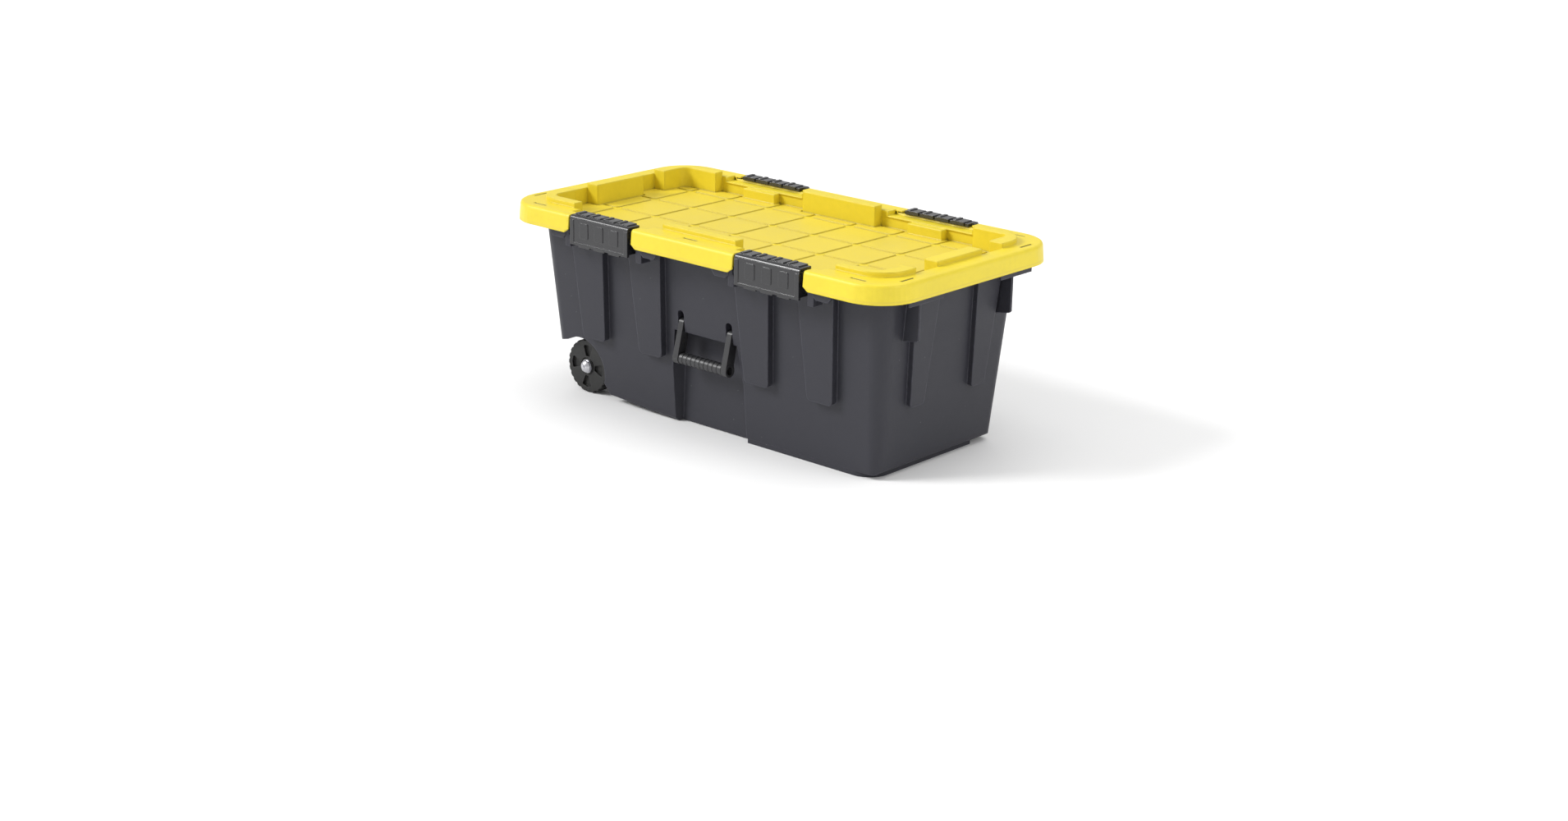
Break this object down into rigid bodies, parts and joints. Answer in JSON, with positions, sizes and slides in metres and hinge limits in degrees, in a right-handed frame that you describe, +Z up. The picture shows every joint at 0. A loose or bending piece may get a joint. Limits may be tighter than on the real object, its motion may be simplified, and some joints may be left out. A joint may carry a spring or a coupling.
{
  "type": "rolling tool box",
  "caption": "Wheeled storage tote with a ribbed tub, lift-off lid held by swing latches, and swinging bail handles front and back.",
  "frame": {"origin": "floor level, under the middle of the lid", "axes": "+X along the length, away from the wheels; -Y towards the front, the side with the front handle; +Z up"},
  "size_m": [0.93, 0.4984, 0.3795],
  "materials": {
    "tub_plastic": "fine-grained moulded charcoal plastic",
    "lid_plastic": "fine-grained moulded yellow plastic",
    "latch_plastic": "smooth semi-gloss black plastic",
    "handle_plastic": "satin charcoal plastic",
    "wheel_plastic": "satin dark grey plastic",
    "axle_steel": "bright drawn steel",
    "cap_chrome": "polished push-on cap"
  },
  "bodies": {
    "tub": {"tub": "tub_plastic", "axle": "axle_steel", "front_axle_cap": "cap_chrome", "back_axle_cap": "cap_chrome"},
    "lid": {"lid": "lid_plastic"},
    "front_left_latch": {"front_left_latch": "latch_plastic"},
    "front_right_latch": {"front_right_latch": "latch_plastic"},
    "back_left_latch": {"back_left_latch": "latch_plastic"},
    "back_right_latch": {"back_right_latch": "latch_plastic"},
    "front_handle": {"front_handle": "handle_plastic"},
    "back_handle": {"back_handle": "handle_plastic"},
    "front_wheel": {"front_wheel": "wheel_plastic"},
    "back_wheel": {"back_wheel": "wheel_plastic"}
  },
  "joints": [
    {"name": "lid_lift", "type": "slide", "parent": "tub", "child": "lid", "axis": [0, 0, 1], "range_m": [0, 0.3]},
    {"name": "front_left_latch_hinge", "type": "hinge", "parent": "tub", "child": "front_left_latch", "pos_m": [-0.2045, -0.2275, 0.33], "axis": [1, 0, 0], "range_deg": [0, 100]},
    {"name": "front_right_latch_hinge", "type": "hinge", "parent": "tub", "child": "front_right_latch", "pos_m": [0.2045, -0.2275, 0.33], "axis": [1, 0, 0], "range_deg": [0, 100]},
    {"name": "back_left_latch_hinge", "type": "hinge", "parent": "tub", "child": "back_left_latch", "pos_m": [-0.2045, 0.2275, 0.33], "axis": [-1, 0, 0], "range_deg": [0, 100]},
    {"name": "back_right_latch_hinge", "type": "hinge", "parent": "tub", "child": "back_right_latch", "pos_m": [0.2045, 0.2275, 0.33], "axis": [-1, 0, 0], "range_deg": [0, 100]},
    {"name": "front_handle_hinge", "type": "hinge", "parent": "tub", "child": "front_handle", "pos_m": [0, -0.1745, 0.197], "axis": [-1, 0, 0], "range_deg": [0, 100]},
    {"name": "back_handle_hinge", "type": "hinge", "parent": "tub", "child": "back_handle", "pos_m": [0, 0.1745, 0.197], "axis": [1, 0, 0], "range_deg": [0, 100]},
    {"name": "front_wheel_spin", "type": "hinge", "parent": "tub", "child": "front_wheel", "pos_m": [-0.333, -0.14, 0.052], "axis": [0, 1, 0], "continuous": true},
    {"name": "back_wheel_spin", "type": "hinge", "parent": "tub", "child": "back_wheel", "pos_m": [-0.333, 0.14, 0.052], "axis": [0, 1, 0], "continuous": true}
  ]
}
